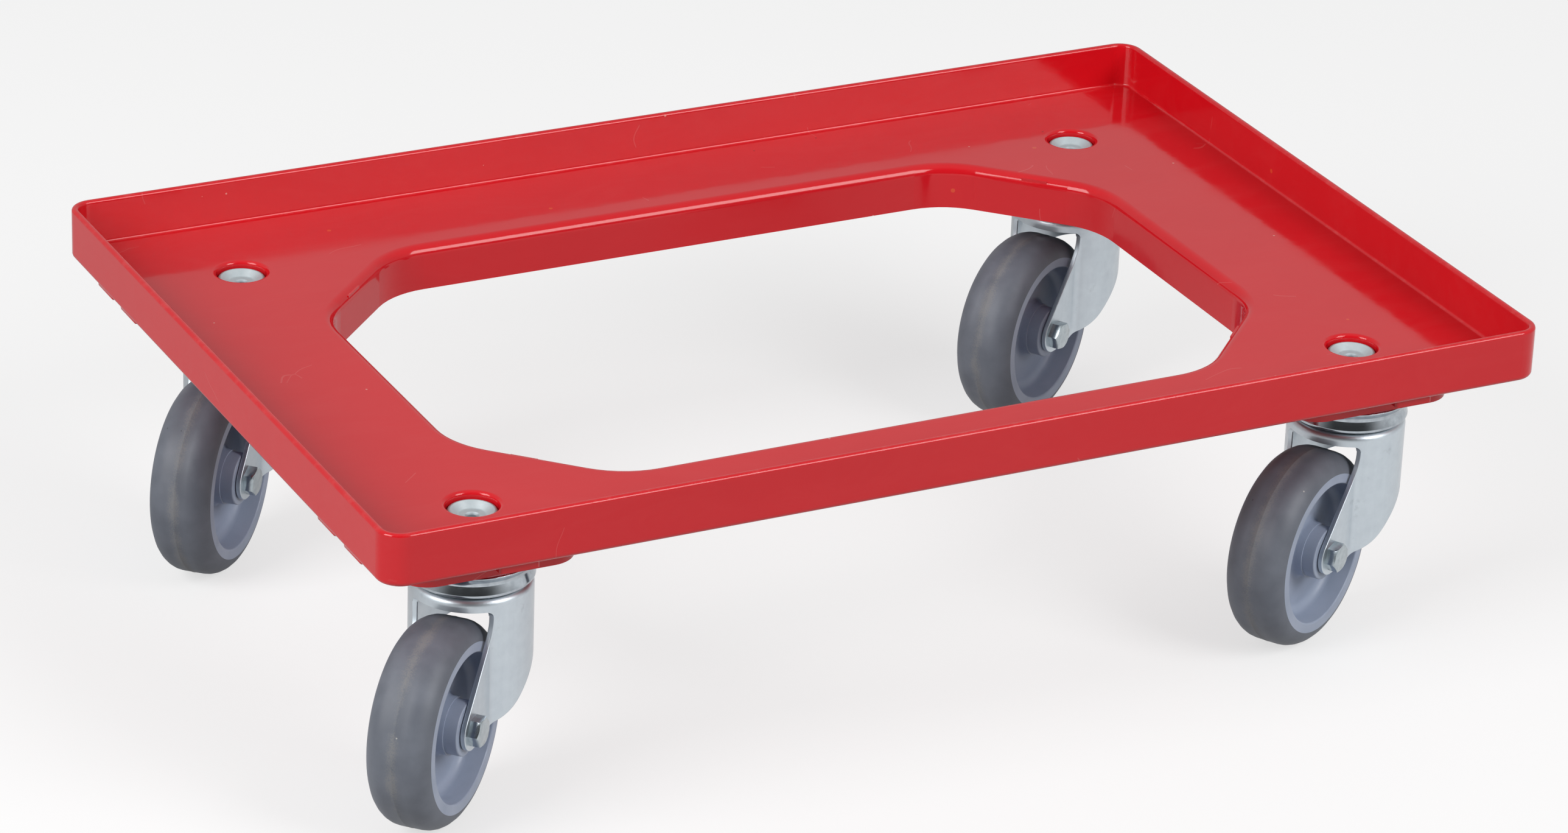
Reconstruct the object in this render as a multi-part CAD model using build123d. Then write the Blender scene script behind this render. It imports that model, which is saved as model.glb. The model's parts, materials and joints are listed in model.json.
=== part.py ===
from build123d import *
import os
from math import asin, degrees, radians, sqrt, tan

# Crate dolly: a moulded deck with a rim that holds a stack of crates, on four swivel castors.
# The origin is the centre of the deck's load face, X runs along its long sides, and Z points up.
# Each castor is built about its own swivel axis: X along its trail, Y along its axle, Z = 0 at its seat.
# All sizes are in millimetres and all angles in degrees.

# Deck: tray, rim and frame
deck_length = 615.0
deck_width = 415.0
deck_corner_radius = 12.0
deck_plate = 3.0
deck_edge_radius = 2.5
rim_depth = 23.5
rim_wall = 3.6
rim_top_radius = 1.6
rim_foot_radius = 1.5
end_frame_width = 89.5
side_frame_width = 68.7
opening_corner_cut = 60.3
opening_corner_radius = 42.0
opening_lip_radius = 5.0
flange_wall = 3.5

# Deck: castor seats, lugs and ribs
castor_end_inset = 70.1
castor_side_inset = 63.3
seat_depth = 23.5
pad_length = 88.0
pad_width = 60.0
pad_corner_radius = 15.0
pad_wall = 3.0
boss_wall = 3.0
hole_lip_radius = 2.0
rib_thickness = 2.5
gusset_pitch = 45.0
gusset_foot = 3.0
edge_margin = 6.0
lug_reach = 9.0
lug_corner_radius = 1.5
side_lug_width = 20.0
side_lug_depth = 8.2
side_lug_shift = 1.2
end_lug_width = 20.5
end_lug_gap = 11.0
end_lug_depth = 7.5

# Fixing bolt, sunk in the deck, and its nut
fixing_diameter = 12.0
fixing_head_diameter = 24.0
fixing_head_height = 5.5
fixing_head_sink = 3.0
fixing_head_radius = 1.5
fixing_dish_diameter = 20.6
fixing_dish_lip_radius = 0.4
fixing_floor_diameter = 13.0
fixing_floor_depth = 2.9
fixing_floor_radius = 1.5
fixing_dimple_diameter = 7.2
fixing_dimple_floor_diameter = 4.8
fixing_dimple_depth = 1.2
fixing_dimple_radius = 0.6
fixing_nut_flats = 18.0
fixing_nut_height = 8.0
fixing_end = 1.5

# Swivel head: pan, ball race, kingpin sleeve and race cup
pan_sheet = 2.4
pan_drop = 10.8
pan_flare = 3.2
pan_draw = 3.6
pan_bend = 2.5
pan_rim_radius = 1.1
ball_diameter = 6.0
ball_count = 6
ball_circle = 30.0
groove_depth = 0.5
race_land = 4.5
race_rise = 4.6
race_slope = 3.0
sleeve_wall = 1.8
sleeve_flange = 3.0
sleeve_flange_height = 1.6
cup_sheet = 2.2
cup_width = 6.5
cup_rim_width = 2.5
cup_rim_height = 0.8

# Fork: crown, cylindrical back and two legs, drawn from one sheet
fork_sheet = 2.5
crown_bore_gap = 1.5
crown_land = 3.0
crown_shoulder = 4.0
crown_bend = 3.2
crown_band = 6.6
crease_radius = 6.0
window_corner_radius = 2.5
window_margin = 0.5
knee_drop = 12.4
knee_radius = 22.0
leg_end_radius = 10.0
leg_foot_flat = 4.0
leg_turn_offset = 7.0
leg_turn_rise = 3.2
back_edge_rise = 30.0
fork_edge_radius = 0.4

# Wheel: rim with hub, tyre, bush and axle
castor_trail = 42.5
wheel_diameter = 100.0
wheel_width = 32.0
tread_width = 10.4
tyre_thickness = 9.0
tyre_headroom = 1.4
lip_height = 5.0
lip_width = 4.0
lip_radius = 0.9
channel_depth = 3.0
dish_draft = 2.2
dish_radius = 5.0
web_thickness = 7.0
hub_diameter = 26.4
hub_edge_radius = 0.6
hub_collar = 0.8
hub_collar_width = 20.0
hub_foot_radius = 3.0
hub_proud = 0.7
bush_wall = 1.6
axle_diameter = 8.0
axle_sleeve_wall = 1.9
axle_head_flats = 13.0
axle_head_height = 5.3
axle_nut_height = 8.0
axle_end = 2.0
hexagon_bevel_angle = 30.0

# Clearances: radial ones around bolts, heads and bushes, and play between moving pieces
head_clearance = 0.65
bolt_clearance = 0.2
press_clearance = 0.05
running_clearance = 0.05
swivel_play = 0.3
ball_seat_play = 0.1
hub_side_play = 0.5

# Where each castor stands: the signs of X and Y, the angle of its trail, and the turn of its axle bolt
castors = {
    "front_left": (-1, -1, -136.4, 0.0),
    "front_right": (1, -1, -149.8, 12.0),
    "rear_left": (-1, 1, -133.1, 20.0),
    "rear_right": (1, 1, -148.2, -8.0),
}

# Most of a wall's thickness that the rounding of one of its edges may take
rounding_share = 0.45

# Values that follow from the sizes of the deck
castor_x = deck_length / 2 - castor_end_inset
castor_y = deck_width / 2 - castor_side_inset
opening_x = deck_length / 2 - end_frame_width
opening_y = deck_width / 2 - side_frame_width
head_seat = -fixing_head_sink - fixing_head_height
counterbore_radius = fixing_head_diameter / 2 + head_clearance
boss_radius = counterbore_radius + boss_wall
rib_top = -deck_plate / 2

# Values that follow from the sizes of the swivel head, as heights under the castor's seat
ball_radius = ball_diameter / 2
race_gap = ball_diameter - 2 * groove_depth
race_radius = ball_circle / 2 + race_land
race_top = -pan_sheet - race_gap
ball_height = race_top + race_gap / 2
sleeve_bore = fixing_diameter / 2 + bolt_clearance
sleeve_radius = sleeve_bore + sleeve_wall
cup_top = race_top - fork_sheet - swivel_play
cup_seat = cup_top - cup_rim_height - cup_sheet
nut_seat = cup_seat - sleeve_flange_height

# Values that follow from the sizes of the wheel and fork
wheel_radius = wheel_diameter / 2
seat_radius = wheel_radius - tyre_thickness
channel_radius = seat_radius - channel_depth
hub_half = wheel_width / 2 + hub_proud
leg_inner = hub_half + hub_side_play
leg_outer = leg_inner + fork_sheet
fork_radius = race_radius + race_slope + crown_land + crown_shoulder
crease_x = sqrt(fork_radius**2 - leg_outer**2)
crown_top = race_top - race_rise
window_top = crown_top - crown_band
window_edge = crease_x - window_margin
wall_top = window_top - window_corner_radius
axle_height = window_top - tyre_headroom - wheel_radius
axle_sleeve_bore = axle_diameter / 2 + bolt_clearance
axle_sleeve_radius = axle_sleeve_bore + axle_sleeve_wall
bush_bore = axle_sleeve_radius + running_clearance
hub_bore = bush_bore + bush_wall

DOWN = (Align.CENTER, Align.CENTER, Align.MAX)
SAME = 1e-4


def section(*edges):
    """Face in the XZ plane, bounded by edges that are drawn as (X, Z)."""
    return make_face([Plane.XZ * edge for edge in edges])


def turned(*corners):
    """Solid turned about Z from a section whose corners are (radius, height, rounding)."""
    points = [(radius, height) for radius, height, _ in corners]
    roundings = [rounding for _, _, rounding in corners]
    outline = FilletPolyline(*points, radius=roundings, close=True)
    return revolve(make_face(Plane.XZ * outline), Axis.Z)


def tube(outer, bore, bottom, top):
    """Plain tube about Z between two heights."""
    return turned((bore, bottom, 0), (outer, bottom, 0), (outer, top, 0), (bore, top, 0))


def hexagon(flats, height, turn=0.0):
    """Hexagonal prism upwards from Z = 0, with the corners of its upper face turned off."""
    prism = extrude(RegularPolygon(flats / 2, 6, major_radius=False, rotation=turn), height)
    corner = flats / sqrt(3)
    shoulder = height - (corner - flats / 2) * tan(radians(hexagon_bevel_angle))
    return prism & turned(
        (0, 0, 0), (corner, 0, 0), (corner, shoulder, 0), (flats / 2, height, 0), (0, height, 0)
    )


def along_axle(piece):
    """A piece that was built about Z, laid along the castor's axle with its upper end towards +Y."""
    return Pos(castor_trail, 0, axle_height) * Rot(-90, 0, 0) * piece


def flat_edges(part, height, reach_x, reach_y):
    """Edges of a part that lie level at a height, inside a centred rectangle."""
    found = []
    for edge in part.edges():
        low, high = edge.bounding_box().min, edge.bounding_box().max
        level = abs(low.Z - height) < SAME and abs(high.Z - height) < SAME
        middle = (low + high) / 2
        if level and abs(middle.X) < reach_x and abs(middle.Y) < reach_y:
            found.append(edge)
    return found


# Deck
def opening_plan():
    """Plan of the opening: a rectangle with cut corners, every corner rounded."""
    cut = opening_corner_cut
    corners = [
        (opening_x, opening_y - cut),
        (opening_x - cut, opening_y),
        (cut - opening_x, opening_y),
        (-opening_x, opening_y - cut),
        (-opening_x, cut - opening_y),
        (cut - opening_x, -opening_y),
        (opening_x - cut, -opening_y),
        (opening_x, cut - opening_y),
    ]
    return make_face(FilletPolyline(*corners, radius=opening_corner_radius, close=True))


def tray():
    """Load face with its rim, before the opening and the castor seats are added."""
    outer = RectangleRounded(deck_length, deck_width, deck_corner_radius)
    inner = RectangleRounded(
        deck_length - 2 * rim_wall, deck_width - 2 * rim_wall, deck_corner_radius - rim_wall
    )
    shell = extrude(Pos(0, 0, -deck_plate) * outer, deck_plate + rim_depth)
    shell -= extrude(inner, rim_depth)
    shell = fillet(flat_edges(shell, -deck_plate, deck_length, deck_width), deck_edge_radius)
    shell = fillet(flat_edges(shell, 0, deck_length, deck_width), rim_foot_radius)
    top_radius = min(rim_top_radius, rounding_share * rim_wall)
    return fillet(flat_edges(shell, rim_depth, deck_length, deck_width), top_radius)


def frame():
    """Tray with the opening and the flange wall that hangs around it."""
    opening = opening_plan()
    rim = offset(opening, flange_wall)
    shell = tray() + extrude(Pos(0, 0, -seat_depth) * rim, seat_depth + rib_top)
    shell -= extrude(Pos(0, 0, -seat_depth) * opening, seat_depth + rim_depth)
    lip = flat_edges(shell, 0, opening_x + flange_wall, opening_y + flange_wall)
    return fillet(lip, opening_lip_radius)


def gusset(inner, outer):
    """Triangular rib along +X under the deck, from the flange wall to near the deck's edge."""
    deep = gusset_foot - seat_depth
    outline = Polyline((inner, rib_top), (outer, rib_top), (outer, -deck_plate), (inner, deep), close=True)
    return extrude(section(outline), rib_thickness / 2, both=True)


def gussets():
    """Rows of gussets along the four straight sides of the opening."""
    ribs = []
    side_count = int((opening_x - opening_corner_cut) / gusset_pitch)
    side_rib = gusset(opening_y + flange_wall / 2, deck_width / 2 - edge_margin)
    for step in range(-side_count, side_count + 1):
        for turn in (90, -90):
            ribs.append(Pos(step * gusset_pitch, 0) * Rot(0, 0, turn) * side_rib)
    end_count = int((opening_y - opening_corner_cut) / gusset_pitch)
    end_rib = gusset(opening_x + flange_wall / 2, deck_length / 2 - edge_margin)
    for step in range(-end_count, end_count + 1):
        for turn in (0, 180):
            ribs.append(Pos(0, step * gusset_pitch) * Rot(0, 0, turn) * end_rib)
    return ribs


def pad():
    """Castor pad: a rounded wall with a boss for the fixing bolt and ribs from boss to wall."""
    plan = RectangleRounded(pad_length, pad_width, pad_corner_radius)
    plan -= RectangleRounded(
        pad_length - 2 * pad_wall, pad_width - 2 * pad_wall, pad_corner_radius - pad_wall
    )
    plan += Circle(boss_radius)
    plan += Rectangle(pad_length - pad_wall, rib_thickness)
    plan += Rectangle(rib_thickness, pad_width - pad_wall)
    return extrude(Pos(0, 0, -seat_depth) * plan, seat_depth + rib_top)


def lugs(sign_x, sign_y):
    """Lugs beside a castor pad, near the deck's edges, each with a rib back to the pad."""
    end_edge = castor_end_inset - edge_margin
    side_edge = castor_side_inset - edge_margin
    end_run = end_edge - pad_length / 2 + pad_wall / 2
    side_run = side_edge - pad_width / 2 + pad_wall / 2
    end_drop = end_lug_depth + rib_top
    side_drop = side_lug_depth + rib_top
    side_plan = RectangleRounded(side_lug_width, lug_reach, lug_corner_radius)
    end_plan = RectangleRounded(lug_reach, end_lug_width, lug_corner_radius)
    beside = Pos(sign_x * side_lug_shift, 0)
    side_rib = Box(rib_thickness, side_run, side_drop, align=DOWN)
    pieces = [
        beside * Pos(0, sign_y * (side_edge - lug_reach / 2)) * extrude(side_plan, -side_drop),
        beside * Pos(0, sign_y * (side_edge - side_run / 2)) * side_rib,
    ]
    for across in (-(end_lug_gap + end_lug_width) / 2, (end_lug_gap + end_lug_width) / 2):
        rib = Box(end_run, rib_thickness, end_drop, align=DOWN)
        pieces.append(Pos(sign_x * (end_edge - lug_reach / 2), across) * extrude(end_plan, -end_drop))
        pieces.append(Pos(sign_x * (end_edge - end_run / 2), across) * rib)
    return [Pos(0, 0, rib_top) * piece for piece in pieces]


def pad_web(sign_x, sign_y):
    """Web between the slanted flange wall and the near corner of a castor pad."""
    slant = Vector(opening_x - opening_corner_cut / 2, opening_y - opening_corner_cut / 2)
    start = slant + Vector(1, 1).normalized() * flange_wall / 2
    corner = Vector(castor_x - pad_length / 2, castor_y - pad_width / 2)
    end = corner + Vector(1, 1) * pad_corner_radius
    toward = (end - start).normalized()
    run = (end - start).length - pad_corner_radius + pad_wall / 2
    height = seat_depth - gusset_foot + rib_top
    web = Box(run, rib_thickness, height, align=(Align.MIN, Align.CENTER, Align.MAX))
    angle = Vector(1, 0).get_signed_angle(Vector(sign_x * toward.X, sign_y * toward.Y))
    return Pos(sign_x * start.X, sign_y * start.Y, rib_top) * Rot(0, 0, angle) * web


def deck_frame():
    """The moulded deck: frame, gussets, castor seats and the sunk holes for the fixing bolts."""
    ribs = gussets()
    holes = []
    for sign_x, sign_y, _, _ in castors.values():
        place = Pos(sign_x * castor_x, sign_y * castor_y)
        ribs.append(place * pad())
        ribs += [place * piece for piece in lugs(sign_x, sign_y)]
        ribs.append(pad_web(sign_x, sign_y))
        holes.append(place * Cylinder(counterbore_radius, -head_seat, align=DOWN))
        holes.append(place * Cylinder(sleeve_bore, seat_depth, align=DOWN))
    deck = frame() + ribs - holes
    lips = []
    for edge in flat_edges(deck, 0, deck_length, deck_width):
        if edge.geom_type == GeomType.CIRCLE and abs(edge.radius - counterbore_radius) < SAME:
            lips.append(edge)
    return fillet(lips, hole_lip_radius)


# Fixing bolt, its nut and the swivel head
def fixing_bolt():
    """Bolt with a round, dished head, sunk in the deck, that holds the castor."""
    radius = fixing_diameter / 2
    head = fixing_head_diameter / 2
    base = seat_depth + head_seat
    top = seat_depth - fixing_head_sink
    floor = top - fixing_floor_depth
    dimple = floor - fixing_dimple_depth
    end = nut_seat - fixing_nut_height - fixing_end
    return turned(
        (0, end, 0),
        (radius, end, 0),
        (radius, base, 0),
        (head, base, 0),
        (head, top, fixing_head_radius),
        (fixing_dish_diameter / 2, top, fixing_dish_lip_radius),
        (fixing_floor_diameter / 2, floor, fixing_floor_radius),
        (fixing_dimple_diameter / 2, floor, fixing_dimple_radius),
        (fixing_dimple_floor_diameter / 2, dimple, fixing_dimple_radius),
        (0, dimple, 0),
    )


def fixing_nut():
    """Nut under the kingpin sleeve."""
    nut = hexagon(fixing_nut_flats, fixing_nut_height)
    nut -= Cylinder(fixing_diameter / 2 + press_clearance, 4 * fixing_nut_height)
    return Pos(0, 0, nut_seat) * Rot(180, 0, 0) * nut


def ball_groove(play):
    """Ring that the balls sweep, with room around them, to cut a race."""
    return Pos(0, 0, ball_height) * Torus(ball_circle / 2, ball_radius + play)


def swivel_pan():
    """Pressed bowl with the upper ball race, clamped against the deck's pad."""
    brim = fork_radius + pan_flare
    skin = Polyline((sleeve_radius + press_clearance, 0), (brim, 0), (brim - pan_draw, -pan_drop))
    sheet = section(*offset(skin, pan_sheet, side=Side.RIGHT).edges())
    bend = [corner for corner in sheet.vertices() if abs(corner.X - brim) < SAME]
    sheet = fillet(bend, pan_bend)
    rim = [corner for corner in sheet.vertices() if corner.Z < -pan_drop / 2]
    sheet = fillet(rim, pan_rim_radius)
    return revolve(sheet, Axis.Z) - ball_groove(swivel_play)


def kingpin_sleeve():
    """Hollow rivet through pan and fork, with the flange that carries the race cup."""
    flange = sleeve_radius + sleeve_flange
    return turned(
        (sleeve_bore, nut_seat, 0),
        (flange, nut_seat, 0),
        (flange, cup_seat, 0),
        (sleeve_radius, cup_seat, 0),
        (sleeve_radius, 0, 0),
        (sleeve_bore, 0, 0),
    )


def race_cup():
    """Dished ring under the fork crown that keeps the fork on the kingpin."""
    bore = sleeve_radius + press_clearance
    outer = bore + cup_width
    plate = cup_seat + cup_sheet
    return turned(
        (bore, cup_seat, 0),
        (outer, cup_seat, 0),
        (outer, cup_top, 0),
        (outer - cup_rim_width, cup_top, 0),
        (outer - cup_rim_width - cup_rim_height, plate, 0),
        (bore, plate, 0),
    )


def swivel_balls():
    """Balls of the race between pan and fork crown."""
    step = 360 / ball_count
    reach = Pos(ball_circle / 2, 0, ball_height)
    return Compound([Rot(0, 0, index * step) * reach * Sphere(ball_radius) for index in range(ball_count)])


# Fork
def crown():
    """Drawn crown of the fork with its raised ball race, down to the rounded corners of the window."""
    skin = FilletPolyline(
        (sleeve_radius + crown_bore_gap, race_top),
        (race_radius, race_top),
        (race_radius + race_slope, crown_top),
        (fork_radius, crown_top),
        (fork_radius, wall_top),
        radius=[crown_bend, crown_bend, crown_shoulder],
    )
    shell = revolve(section(*offset(skin, fork_sheet, side=Side.RIGHT).edges()), Axis.Z)
    return shell - ball_groove(ball_seat_play)


def fork_wall():
    """Upright wall of the fork: round at the back, with flat legs that meet it in soft creases."""
    front = castor_trail + leg_end_radius + 2 * fork_sheet
    back = ThreePointArc((crease_x, leg_outer), (-fork_radius, 0), (crease_x, -leg_outer))
    legs = Polyline((crease_x, -leg_outer), (front, -leg_outer), (front, leg_outer), (crease_x, leg_outer))
    plan = make_face([back, *legs.edges()])
    creases = [corner for corner in plan.vertices() if abs(corner.X - crease_x) < SAME]
    plan = fillet(creases, crease_radius)
    plan -= offset(plan, -fork_sheet)
    foot = axle_height - leg_end_radius
    return extrude(Pos(0, 0, foot) * plan, wall_top - foot)


def leg_profile():
    """Side view of the fork's wall: knee, slanted front, round end and swept back edge."""
    rear = -fork_radius - fork_sheet
    knee = Vector(window_edge, window_top - knee_drop)
    foot = axle_height - leg_end_radius
    turn = (leg_turn_offset, axle_height + leg_turn_rise)
    toward = Vector(castor_trail, axle_height) - knee
    swing = degrees(asin(leg_end_radius / toward.length))
    run = sqrt(toward.length**2 - leg_end_radius**2)
    slant = Line(knee, knee + toward.rotate(Axis.Z, swing).normalized() * run)
    end = TangentArc(slant @ 1, (castor_trail, foot), tangent=slant % 1)
    flat = Line((castor_trail, foot), (castor_trail - leg_foot_flat, foot))
    sweep = TangentArc(flat @ 1, turn, tangent=flat % 1)
    back = TangentArc(turn, (rear, axle_height + back_edge_rise), tangent=sweep % 1)
    top = Polyline(back @ 1, (rear, wall_top), (window_edge, wall_top), knee)
    profile = section(slant, end, flat, sweep, back, *top.edges())
    bend = [corner for corner in profile.vertices() if abs(corner.Z - knee.Y) < SAME]
    return fillet(bend, knee_radius)


def window_cut():
    """Cut that opens the crown's front wall above the wheel, as wide as the gap between the creases."""
    front = fork_radius + fork_sheet
    foot = wall_top - fork_sheet
    outline = FilletPolyline(
        (window_edge, foot),
        (window_edge, window_top),
        (front, window_top),
        (front, foot),
        radius=[0, window_corner_radius, 0, 0],
        close=True,
    )
    window = extrude(section(*outline.edges()), fork_radius, both=True)
    bend = crease_radius + fork_sheet
    centre_y = leg_outer + crease_radius
    centre_x = sqrt((fork_radius + crease_radius) ** 2 - centre_y**2)
    side = centre_y - sqrt(bend**2 - (centre_x - window_edge) ** 2)
    between = Box(front, 2 * side, window_top - foot, align=(Align.MIN, Align.CENTER, Align.MAX))
    return window + Pos(0, 0, window_top) * between


def cut_edges(legs):
    """Edges along the outline of the legs, where the sheet was cut, without the seams of its faces."""
    found = []
    for edge in legs.edges():
        low, high = edge.bounding_box().min, edge.bounding_box().max
        size = high - low
        seam = size.X < SAME and size.Y < SAME and abs(low.X - window_edge) > SAME
        across = size.X < SAME and size.Z < SAME
        joint = low.Z > wall_top - SAME
        if not (seam or across or joint):
            found.append(edge)
    return found


def fork():
    """Fork drawn from one sheet: crown, round back and two legs with the axle holes."""
    legs = fork_wall() & extrude(leg_profile(), fork_radius + fork_sheet, both=True)
    legs = fillet(cut_edges(legs), fork_edge_radius)
    body = crown() - window_cut() + legs
    return body - along_axle(Cylinder(axle_sleeve_bore, 4 * leg_outer))


# Wheel and axle
def wheel_rim():
    """Moulded rim with hub, web and dished sides, and the channel that holds the tyre."""
    half = wheel_width / 2
    hub = hub_diameter / 2
    lip = seat_radius - lip_height
    side = [
        (hub_bore, hub_half, 0),
        (hub, hub_half, hub_edge_radius),
        (hub, hub_collar_width / 2, 0),
        (hub + hub_collar, hub_collar_width / 2, 0),
        (hub + hub_collar, web_thickness / 2, hub_foot_radius),
        (lip - dish_draft, web_thickness / 2, dish_radius),
        (lip, half, lip_radius),
        (seat_radius, half, 0),
        (seat_radius, half - lip_width, 0),
        (channel_radius, half - lip_width, 0),
    ]
    other_side = [(radius, -height, rounding) for radius, height, rounding in reversed(side)]
    return along_axle(turned(*side, *other_side))


def tyre():
    """Tyre with a flat tread and round shoulders, moulded into the rim's channel."""
    half = wheel_width / 2
    channel = half - lip_width
    edges = [Line((wheel_radius, -tread_width / 2), (wheel_radius, tread_width / 2))]
    for side in (-1, 1):
        tread_edge = (wheel_radius, side * tread_width / 2)
        edges.append(TangentArc(tread_edge, (seat_radius, side * half), tangent=(0, side)))
    seat = Polyline(
        (seat_radius, half),
        (seat_radius, channel),
        (channel_radius, channel),
        (channel_radius, -channel),
        (seat_radius, -channel),
        (seat_radius, -half),
    )
    return along_axle(revolve(section(*edges, *seat.edges()), Axis.Z))


def hub_bush():
    """Plain bush in the hub that runs on the axle sleeve."""
    return along_axle(tube(hub_bore, bush_bore, -hub_half, hub_half))


def axle_sleeve():
    """Distance tube between the legs, clamped by the axle bolt."""
    return along_axle(tube(axle_sleeve_radius, axle_sleeve_bore, -leg_inner, leg_inner))


def axle_bolt(turn):
    """Hexagon bolt through both legs, with its head on the +Y leg."""
    shank = leg_outer + axle_nut_height + axle_end
    bolt = Pos(0, 0, leg_outer) * hexagon(axle_head_flats, axle_head_height, turn)
    bolt += Pos(0, 0, leg_outer) * Cylinder(axle_diameter / 2, leg_outer + shank, align=DOWN)
    return along_axle(bolt)


def axle_nut(turn):
    """Hexagon nut on the -Y leg."""
    nut = hexagon(axle_head_flats, axle_nut_height, turn)
    nut -= Cylinder(axle_diameter / 2 + press_clearance, 4 * axle_nut_height)
    return along_axle(Pos(0, 0, -leg_outer) * Rot(180, 0, 0) * nut)


def castor_pieces(bolt_turn):
    """Every piece of one castor by name, about its swivel axis."""
    return {
        "fixing_bolt": fixing_bolt(),
        "fixing_nut": fixing_nut(),
        "swivel_pan": swivel_pan(),
        "kingpin_sleeve": kingpin_sleeve(),
        "race_cup": race_cup(),
        "swivel_balls": swivel_balls(),
        "fork": fork(),
        "axle_bolt": axle_bolt(bolt_turn),
        "axle_nut": axle_nut(bolt_turn),
        "axle_sleeve": axle_sleeve(),
        "hub_bush": hub_bush(),
        "wheel_rim": wheel_rim(),
        "tyre": tyre(),
    }


os.makedirs("parts", exist_ok=True)
export_step(deck_frame(), "parts/deck_frame.step")
for corner, (sign_x, sign_y, trail_angle, bolt_turn) in castors.items():
    place = Pos(sign_x * castor_x, sign_y * castor_y, -seat_depth) * Rot(0, 0, trail_angle)
    for name, piece in castor_pieces(bolt_turn).items():
        export_step(place * piece, f"parts/{name}_{corner}.step")
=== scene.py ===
"""Looks of a crate dolly: a glossy moulded deck on four zinc-plated swivel castors."""

import json
import logging
import math
from dataclasses import dataclass
from enum import Enum
from typing import Any, Sequence

import bmesh
import bpy
from mathutils import Matrix, Vector


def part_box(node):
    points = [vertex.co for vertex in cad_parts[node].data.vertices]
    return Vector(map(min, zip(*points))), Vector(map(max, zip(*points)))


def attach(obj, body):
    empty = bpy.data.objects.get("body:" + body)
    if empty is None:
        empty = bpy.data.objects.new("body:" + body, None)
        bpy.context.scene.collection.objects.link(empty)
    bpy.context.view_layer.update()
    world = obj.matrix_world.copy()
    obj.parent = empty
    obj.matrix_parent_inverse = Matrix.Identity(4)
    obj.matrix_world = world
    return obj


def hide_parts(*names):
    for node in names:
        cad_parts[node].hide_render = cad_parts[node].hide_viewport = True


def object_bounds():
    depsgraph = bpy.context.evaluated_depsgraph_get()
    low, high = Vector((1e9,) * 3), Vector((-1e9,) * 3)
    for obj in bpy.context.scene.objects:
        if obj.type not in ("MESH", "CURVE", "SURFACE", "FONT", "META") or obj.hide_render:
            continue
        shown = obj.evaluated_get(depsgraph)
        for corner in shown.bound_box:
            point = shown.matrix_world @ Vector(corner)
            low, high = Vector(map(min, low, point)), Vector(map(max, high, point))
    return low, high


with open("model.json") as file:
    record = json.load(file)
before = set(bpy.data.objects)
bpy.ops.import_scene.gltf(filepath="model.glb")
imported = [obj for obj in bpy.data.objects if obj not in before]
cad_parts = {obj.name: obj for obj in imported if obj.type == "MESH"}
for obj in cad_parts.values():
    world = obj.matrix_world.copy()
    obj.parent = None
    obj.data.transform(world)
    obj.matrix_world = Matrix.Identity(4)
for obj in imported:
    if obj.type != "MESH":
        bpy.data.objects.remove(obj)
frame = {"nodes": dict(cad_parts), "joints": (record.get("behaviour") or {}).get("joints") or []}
cad_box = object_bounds()

LOG = logging.getLogger("crate_dolly")
MM = 0.001
UP = Vector((0.0, 0.0, 1.0))
WHITE = "#FFFFFF"
SAME_POINT = 1e-6
FLAT_ANGLE = math.radians(0.5)
SHADE_ANGLE = math.radians(38)
EDGE_STEPS = 2
LUG_STEPS = 3
ROUND_STEPS = 6
LATHE_STEPS = 128

Material = bpy.types.Material
Shape = bmesh.types.BMesh
Socket = bpy.types.NodeSocket
Tree = bpy.types.NodeTree


class Corner(Enum):
    """The four corners of the deck, by the ending of their nodes' names."""

    FRONT_LEFT = "front_left"
    FRONT_RIGHT = "front_right"
    REAR_LEFT = "rear_left"
    REAR_RIGHT = "rear_right"


class Slot(Enum):
    """Material slots of the record, by name."""

    DECK = "red_abs"
    BRIGHT = "zinc_bright"
    FASTENER = "zinc_fasteners"
    TYRE = "grey_rubber"


def linear(colour: str) -> tuple[float, float, float, float]:
    """Turn an sRGB hex colour into linear light, by the sRGB curve.

    Args:
        colour: Six hex digits after a hash sign.

    Returns:
        Red, green, blue and an alpha of 1.
    """
    values = [int(colour[start : start + 2], 16) / 255 for start in (1, 3, 5)]
    red, green, blue = (v / 12.92 if v <= 0.04045 else ((v + 0.055) / 1.055) ** 2.4 for v in values)
    return red, green, blue, 1.0


def add(
    tree: Tree, kind: str, links: dict[str | int, Any] | None = None, **settings: Any
) -> bpy.types.Node:
    """Add a node with its settings and links.

    Args:
        tree: Node tree that gets the node.
        kind: Blender's name for the kind of node, after the ShaderNode that all of them start with.
        links: For each input, by name or number, the socket that feeds it or its own value.
        settings: The node's properties.

    Returns:
        The new node.
    """
    node = tree.nodes.new(f"ShaderNode{kind}")
    for name, value in settings.items():
        setattr(node, name, value)
    for name, value in (links or {}).items():
        if isinstance(value, Socket):
            tree.links.new(value, node.inputs[name])
        else:
            node.inputs[name].default_value = value
    return node


def new_material(name: str, **shader: Any) -> tuple[Material, Tree, bpy.types.Node]:
    """Start a material with one principled shader.

    Args:
        name: The material's name.
        shader: Values of the shader's own sockets, with underscores for spaces.

    Returns:
        The material, its node tree and its shader.
    """
    material = bpy.data.materials.new(name)
    material.use_nodes = True
    tree = material.node_tree
    tree.nodes.clear()
    sockets = {key.replace("_", " "): value for key, value in shader.items()}
    principled = add(tree, "BsdfPrincipled", sockets)
    add(tree, "OutputMaterial", {"Surface": principled.outputs["BSDF"]})
    return material, tree, principled


def per_metre(size: float) -> float:
    """Scale of a pattern whose features are this far apart, in metres."""
    return 1.0 / size


# Finishes
@dataclass(frozen=True)
class Marks:
    """One kind of small mark that lies scattered over a surface."""

    colour: str
    rare: float
    radius: float
    shift: float
    cover: float


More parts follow.
